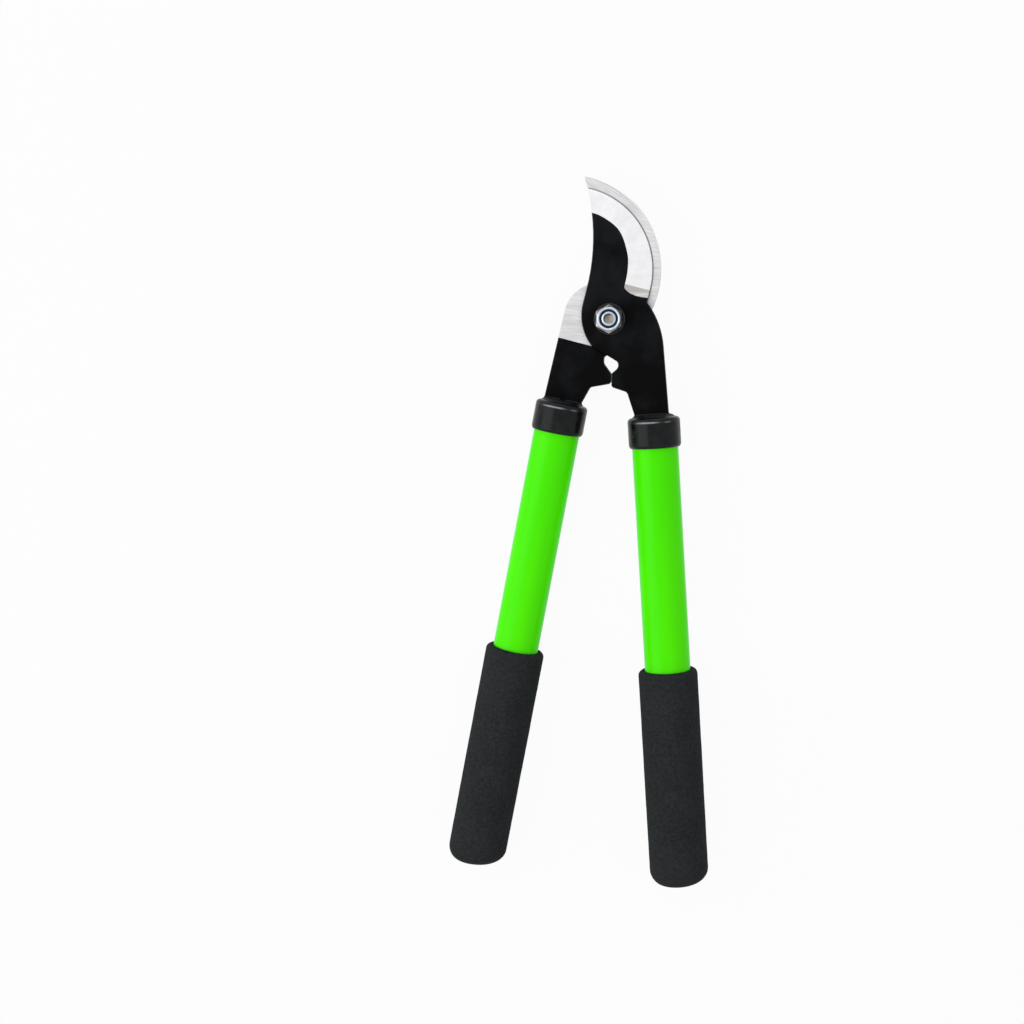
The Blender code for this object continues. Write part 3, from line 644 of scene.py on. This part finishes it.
# Nylon ring: a moulded blue ring, held in the nut by its rolled crown. The bolt's thread has cut
# its own way through it, which is what locks the nut.
RING_R = MOUTH_R + 0.00015
RING_LOW = 0.0110
RING_SIDE_TOP = RING_TOP - 0.0002
RING_ROUND = 0.0003

nylon, place = material("blue_nylon", {"Specular IOR Level": 0.25})
cloud = place.grain(900.0, 3.0)
vary(nylon, {
    "Base Color": cloud.colour((0.014, 0.024, 0.060, 1.0), (0.024, 0.045, 0.110, 1.0)),
    "Roughness": cloud.spread(0.30, 0.45),
    "Normal": place.bumped(0.00002 * cloud),
})

rings = [(BOLT_R, RING_LOW), (RING_R, RING_LOW), (RING_R, RING_SIDE_TOP)]
rings += rounded((MOUTH_R - RING_ROUND, RING_TOP - RING_ROUND), (RING_ROUND, RING_ROUND), 45.0, 90.0, 4)
rings += [(BOLT_R + RING_ROUND, RING_TOP), (BOLT_R, RING_TOP - RING_ROUND)]
ring_turned = turned(rings, HARDWARE_SIDES, closed=True)
fitted("nylon_ring", ring_turned, nylon, "hook_side", "nut_nylon_ring", AT_PIVOT)


# Handle tubes: drawn steel tube, cross-drilled for its pin and stoved with bright green enamel.
# A slotted plug in each tube's end holds the plate's tang, and a pin goes through all three.

# Each handle runs down from the middle of its collar's top, and the tang in it is given by how far
# it reaches to the left and the right of the handle's axis, and by the heights of its faces.
Handle = namedtuple("Handle", "side body top lean_deg shown_l grip_l tang_reach tang_z")
HANDLES = (
    Handle(
        side="left", body="hook_side", top=PIVOT + Vector((-0.02425, -0.04201, 0.0)), lean_deg=-10.63,
        shown_l=0.1167, grip_l=0.1190, tang_reach=(0.0098, 0.0099), tang_z=(-0.0040, 0.0010),
    ),
    Handle(
        side="right", body="blade_side", top=PIVOT + Vector((0.02284, -0.04925, 0.0)), lean_deg=3.78,
        shown_l=0.11715, grip_l=0.1158, tang_reach=(0.0097, 0.0081), tang_z=(-0.0010, 0.0040),
    ),
)
TUBE_R = 0.0120
TUBE_BORE_R = 0.0105
TUBE_TOP = 0.0053
TUBE_SIDES = 128
PIN_DOWN = 0.0115
PIN_R = 0.0020
DRILL_R = PIN_R + 0.0003
DRILL_SIDES = 48
COLLAR_L = 0.0170
COLLAR_TOP_T = 0.0050
GRIP_END_T = 0.0090
END_PLUG_ROOM = 0.0021

enamel, place = material("green_enamel", {"Specular IOR Level": 0.07})
x, y, z = place.axes()
cloud = place.at(x * 60.0, y * 9.0, z * 60.0).grain(1.0, 3.0)
peel = place.grain(650.0, 2.0)
vary(enamel, {
    "Base Color": cloud.above(0.3, 0.7).colour((0.072, 0.92, 0.0, 1.0), (0.100, 0.99, 0.0, 1.0)),
    "Roughness": cloud.spread(0.16, 0.26),
    "Normal": place.bumped(0.000012 * peel),
})

plug_plastic, place = material("plug_plastic", {"Specular IOR Level": 0.4})
cloud = place.grain(300.0)
vary(plug_plastic, {
    "Base Color": cloud.colour(grey(0.012), grey(0.020)),
    "Roughness": cloud.spread(0.45, 0.60),
    "Normal": place.bumped(0.00002 * place.grain(1500.0)),
})

pin_steel, place = material("pin_steel", {"Metallic": 1.0})
cloud = place.grain(800.0)
vary(pin_steel, {
    "Base Color": cloud.colour(grey(0.42), grey(0.58)),
    "Roughness": cloud.spread(0.28, 0.42),
    "Normal": place.bumped(0.00001 * cloud),
})


def on_handle(handle):
    """Puts a piece that is built down -Y on the handle's axis, from the top of its collar."""
    return Matrix.Translation(handle.top) @ Matrix.Rotation(math.radians(handle.lean_deg), 4, "Z")


def cut(made, tool):
    """Cuts one piece with a throwaway one, and creases the new rims."""
    change = made.modifiers.new("cut", "BOOLEAN")
    change.object = tool
    change.solver = "EXACT"
    bpy.context.view_layer.update()
    changed = made.evaluated_get(bpy.context.evaluated_depsgraph_get())
    mesh = bpy.data.meshes.new_from_object(changed)
    made.modifiers.clear()
    mesh.shade_smooth()
    mesh.set_sharp_from_angle(angle=math.radians(CREASE_DEG))
    made.data = mesh
    bpy.data.objects.remove(tool, do_unlink=True)


def throwaway(built, place):
    """A tool for one cut, which the cut removes."""
    mesh = bpy.data.meshes.new("tool")
    built.to_mesh(mesh)
    built.free()
    tool = bpy.data.objects.new("tool", mesh)
    tool.matrix_world = place
    bpy.context.scene.collection.objects.link(tool)
    return tool


inner_pieces = (("_tang_plug", plug_plastic), ("_end_plug", plug_plastic), ("_tube_pin", pin_steel))
for handle in HANDLES:
    tube_end = COLLAR_L + handle.shown_l + handle.grip_l - GRIP_END_T - END_PLUG_ROOM
    rings = [(TUBE_BORE_R, TUBE_TOP), (TUBE_R, TUBE_TOP), (TUBE_R, tube_end), (TUBE_BORE_R, tube_end)]
    built = turned(rings, TUBE_SIDES, closed=True, down_handle=True)
    name, node = handle.side + "_handle_tube", handle.side + "_tube"
    tube = fitted(name, built, enamel, handle.body, node, on_handle(handle))
    drill_reach = TUBE_R + COLLAR_TOP_T
    drill = turned([(DRILL_R, -drill_reach), (DRILL_R, drill_reach)], DRILL_SIDES)
    cut(tube, throwaway(drill, on_handle(handle) @ Matrix.Translation((0.0, -PIN_DOWN, 0.0))))
    for inner, look in inner_pieces:
        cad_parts[handle.side + inner].material_slots[0].material = look


# Collars: moulded black plastic caps, slid down over the tube's mouth.
# The tang comes up through a slot, round which the plastic swells into a small fillet, and the
# edge below the shoulder has a painted highlight in two places. Depths are from the collar's top.
COLLAR_R = 0.0136
SHOULDER_R = 0.0022
DOME_W = 0.0019
DOME_H = 0.0012
RIM_R = 0.0013
RIM_L = 0.0024
SWELL = 0.0009
INNER_R = 0.0020
TOP_STEPS = 60
COLLAR_SIDES = 160
COLLAR_BORE_R = TUBE_R + 0.00005
SLOT_PLAY = 0.0001
SAW_L = 0.05
HIGHLIGHT_DOWN = (0.0029, 0.0034, 0.0036, 0.0042)
LONG_HIGHLIGHT_X = (-0.0106, -0.0045, -0.0012, 0.0044)
SHORT_HIGHLIGHT_X = (0.0052, 0.0070, 0.0076, 0.0098)
SEAM = (0.00005, 0.00025)
SHOULDER_TOP = (0.0006, 0.0014)


def between(value, rise_from, rise_to, fall_from, fall_to):
    """1 inside a stretch and 0 outside it, with a soft rise and fall."""
    return value.above(rise_from, rise_to) * (1.0 - value.above(fall_from, fall_to))


collar_plastic, place = material("black_collar_plastic", {"Specular IOR Level": 0.16})
x, y, z = place.axes()
down = -1.0 * y
cloud = place.grain(120.0, 3.0)
smudge = place.grain(210.0, 3.0).above(0.36, 0.66)
seam = 1.0 - place.maths("ABSOLUTE", z).above(*SEAM)
# The lighter grey along the edge below the shoulder is a painted highlight, broken up by grain.
highlight_spans = 0.08 + between(x, *LONG_HIGHLIGHT_X) + 0.6 * between(x, *SHORT_HIGHLIGHT_X)
painted_highlight = between(down, *HIGHLIGHT_DOWN) * highlight_spans * place.grain(260.0, 2.0).above(0.20, 0.60)
black = (0.5 * cloud + 0.5 * smudge).colour(grey(0.0016, -0.10), grey(0.0105, -0.14))
vary(collar_plastic, {
    "Base Color": painted_highlight.colour(black, grey(0.34, -0.03)),
    "Roughness": smudge.spread(0.18, 0.36) + 0.25 * (1.0 - down.above(*SHOULDER_TOP)),
    "Normal": place.bumped(0.00002 * place.grain(1400.0) + 0.00003 * place.grain(200.0) + 0.00006 * seam),
})

Slot = namedtuple("Slot", "x z half_w half_t")


def slot_round_tang(handle):
    """The collar's slot for the tang, by its middle, its half width and its half thickness."""
    left, right = handle.tang_reach
    low, high = handle.tang_z
    return Slot(
        x=(right - left) / 2, z=(high + low) / 2,
        half_w=(left + right) / 2 + SLOT_PLAY, half_t=(high - low) / 2 + SLOT_PLAY,
    )


def swelling(radius, length, slot):
    """A ring of the collar's top, lifted where it comes near the tang."""

    def ring(angle):
        beside = max(0.0, abs(radius * math.cos(angle) - slot.x) - slot.half_w)
        above = max(0.0, abs(radius * math.sin(angle) - slot.z) - slot.half_t)
        left = max(0.0, SWELL - math.hypot(beside, above))
        return radius, length - (SWELL - math.sqrt(SWELL**2 - left**2))

    return ring


for handle in HANDLES:
    slot = slot_round_tang(handle)
    shoulder = (COLLAR_R - SHOULDER_R, DOME_H + SHOULDER_R)
    flat_r = shoulder[0] - DOME_W
    rings = []
    for i in range(TOP_STEPS):
        radius = INNER_R + (shoulder[0] - INNER_R) * i / TOP_STEPS
        rings.append(swelling(radius, DOME_H * max(0.0, radius - flat_r) / DOME_W, slot))
    rings += rounded(shoulder, (SHOULDER_R, SHOULDER_R), -88.0, 0.0, 12)
    rings += rounded((COLLAR_R - RIM_R, COLLAR_L - RIM_L), (RIM_R, RIM_L), 0.0, 90.0, 12)
    rings += [(COLLAR_BORE_R, COLLAR_L), (COLLAR_BORE_R, COLLAR_TOP_T), (INNER_R, COLLAR_TOP_T)]
    built = turned(rings, COLLAR_SIDES, down_handle=True)
    name, node = handle.side + "_tube_collar", handle.side + "_collar"
    collar = fitted(name, built, collar_plastic, handle.body, node, on_handle(handle))
    saw = bmesh.new()
    bmesh.ops.create_cube(saw, size=2.0)
    bmesh.ops.scale(saw, verts=saw.verts, vec=(slot.half_w, SAW_L, slot.half_t))
    bmesh.ops.translate(saw, verts=saw.verts, vec=(slot.x, 0.0, slot.z))
    cut(collar, throwaway(saw, on_handle(handle)))


# Grips: black foam sleeves, closed over the end of the tube, with a rounded mouth and end.
# The foam is soft, so its skin is a little uneven and its end is not quite square to the tube.
GRIP_R = 0.0156
MOUTH_ROUND = 0.0028
END_ROUND = 0.0078
FOAM_SIDES = 128
FOAM_STEPS = 90
END_STEPS = 8
MOUTH_RINGS = ((TUBE_R + 0.0001, 0.0040), (TUBE_R + 0.0001, 0.0004), (TUBE_R + 0.0002, 0.0001))
FOAM_INNER_R = TUBE_R + 0.0004
END_TILT = {"left": 0.11, "right": 0.05}
TILT_FROM = 0.8

# The skin's waves are given by their share of the height UNEVEN and by their lumps to the metre.
UNEVEN = 0.00010
SUNK = 0.00008
BROAD_WAVES = (0.7, 110.0)
FINE_WAVES = (0.45, 420.0)
NEAR_AXIS = 0.001
FOAM_CREASE_DEG = 80.0

foam, place = material("black_foam", {"Specular IOR Level": 0.05})
pores = place.grain(1700.0, 3.0, 0.6)
mottle = place.grain(620.0, 3.0, 0.6)
patch = place.grain(45.0, 2.0)
tone = 0.5 * pores + 0.35 * mottle + 0.15 * patch
vary(foam, {
    "Base Color": tone.above(0.30, 0.70).colour(grey(0.0135, -0.08), grey(0.0390, -0.09)),
    "Roughness": pores.spread(0.86, 0.98),
    "Normal": place.bumped(0.00016 * pores + 0.00012 * mottle, 0.8),
})


def soften(built, start, end, tilt):
    """Makes the foam's skin uneven and tilts its end, but leaves it as it is inside its mouth."""
    for vert in built.verts:
        across, down, up = vert.co.x, -vert.co.y, vert.co.z
        radius = math.hypot(across, up)
        if radius > FOAM_INNER_R or down > end - GRIP_END_T:
            where = Vector((across, down, up))
            waves = sum(height * noise.noise(where * scale) for height, scale in (BROAD_WAVES, FINE_WAVES))
            outwards = Vector((across, 0.0, up)).normalized() if radius > NEAR_AXIS else Vector()
            vert.co += outwards * (UNEVEN * waves - SUNK)
        near_end = max(0.0, (down - start) / (end - start) - TILT_FROM) / (1.0 - TILT_FROM)
        vert.co.y += near_end**2 * tilt * across
    built.normal_update()


for handle in HANDLES:
    start = COLLAR_L + handle.shown_l
    end = start + handle.grip_l
    mouth = (GRIP_R - MOUTH_ROUND, start + MOUTH_ROUND)
    corner = (GRIP_R - END_ROUND, end - END_ROUND)
    rings = [(radius, start + depth) for radius, depth in MOUTH_RINGS]
    rings += rounded(mouth, (MOUTH_ROUND, MOUTH_ROUND), -90.0, 0.0, 12)
    rings += [(GRIP_R, mouth[1] + (corner[1] - mouth[1]) * i / FOAM_STEPS) for i in range(1, FOAM_STEPS)]
    rings += rounded(corner, (END_ROUND, END_ROUND), 0.0, 90.0, 20)
    rings += [(corner[0] * (1 - i / END_STEPS), end) for i in range(1, END_STEPS)]
    built = turned(rings, FOAM_SIDES, down_handle=True)
    soften(built, start, end, END_TILT[handle.side])
    name, node = handle.side + "_foam_grip", handle.side + "_grip"
    grip = fitted(name, built, foam, handle.body, node, on_handle(handle), FOAM_CREASE_DEG)


# The stage: a plain white floor and surroundings, which the camera sees as plain white.
# One broad soft lamp stands to the upper left, and a thin wide one beyond the blades.
FLOOR_SIZE = 4.0
FLOOR_GAP = 0.0002
FLOOR_SEEN = 0.95
WORLD_LIGHT = 0.62
MIDDLE = Vector((0.0, 0.0, 0.0))


def seen(shade):
    """1 where the camera looks, also by a reflection, and 0 for the light that falls on things."""
    camera_ray = shade.node("LightPath", {}, "Is Camera Ray")
    glossy_ray = shade.node("LightPath", {}, "Is Glossy Ray")
    clear_ray = shade.node("LightPath", {}, "Is Transmission Ray")
    return shade.maths("MINIMUM", camera_ray + glossy_ray + clear_ray, 1.0)


matt = {"Base Color": grey(0.72), "Roughness": 0.9, "Specular IOR Level": 0.0}
white, place = material("white_floor", matt)
tree = white.node_tree
glow = place.node("Emission", {"Color": grey(1.0), "Strength": 1.0})
mix = place.node("MixShader", {0: FLOOR_SEEN * seen(place), 2: glow})
tree.links.new(tree.nodes["Principled BSDF"].outputs[0], mix.socket.node.inputs[1])
tree.links.new(mix.socket, tree.nodes["Material Output"].inputs["Surface"])

built = bmesh.new()
bmesh.ops.create_grid(built, x_segments=8, y_segments=8, size=FLOOR_SIZE)
mesh = bpy.data.meshes.new("floor")
built.to_mesh(mesh)
built.free()
mesh.materials.append(white)
floor = bpy.data.objects.new("floor", mesh)
floor.location.z = cad_low.z - FLOOR_GAP
bpy.context.scene.collection.objects.link(floor)
floor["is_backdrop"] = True

world = bpy.data.worlds.new("studio")
world.use_nodes = True
tree = world.node_tree
background = tree.nodes["Background"]
background.inputs["Color"].default_value = grey(1.0)
strength = WORLD_LIGHT + (1.0 - WORLD_LIGHT) * seen(Shade(tree))
tree.links.new(strength.socket, background.inputs["Strength"])
bpy.context.scene.world = world


def soft_lamp(name, place, size, watts):
    """A soft box that faces the middle of the tool."""
    lamp = bpy.data.lights.new(name, "AREA")
    lamp.shape = "RECTANGLE"
    lamp.size, lamp.size_y = size
    lamp.energy = watts
    made = bpy.data.objects.new(name, lamp)
    made.location = place
    made.rotation_euler = (MIDDLE - Vector(place)).to_track_quat("-Z", "Y").to_euler()
    bpy.context.scene.collection.objects.link(made)


soft_lamp("lamp_left", place=(-0.95, 0.05, 0.80), size=(1.4, 1.1), watts=6.9)
soft_lamp("lamp_top", place=(0.0, 1.25, 0.44), size=(1.2, 0.16), watts=2.2)

# The camera stands straight over the tool, a little to the right of the pivot.
EYE = PIVOT + Vector((0.04129, -0.01329, 0.804))
AIM = PIVOT + Vector((-0.05046, -0.10044, 0.004))
LENS_MM = 54.246
SENSOR_MM = 36.0

forward = (AIM - EYE).normalized()
right = forward.cross(Vector((0.0, 1.0, 0.0))).normalized()
upward = right.cross(forward)
lens = bpy.data.cameras.new("camera")
lens.lens = LENS_MM
lens.sensor_width = SENSOR_MM
camera = bpy.data.objects.new("camera", lens)
camera.matrix_world = Matrix.Translation(EYE) @ Matrix((right, upward, -forward)).transposed().to_4x4()
bpy.context.scene.collection.objects.link(camera)
bpy.context.scene.camera = camera
bpy.context.scene.view_settings.view_transform = "Standard"

low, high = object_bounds()
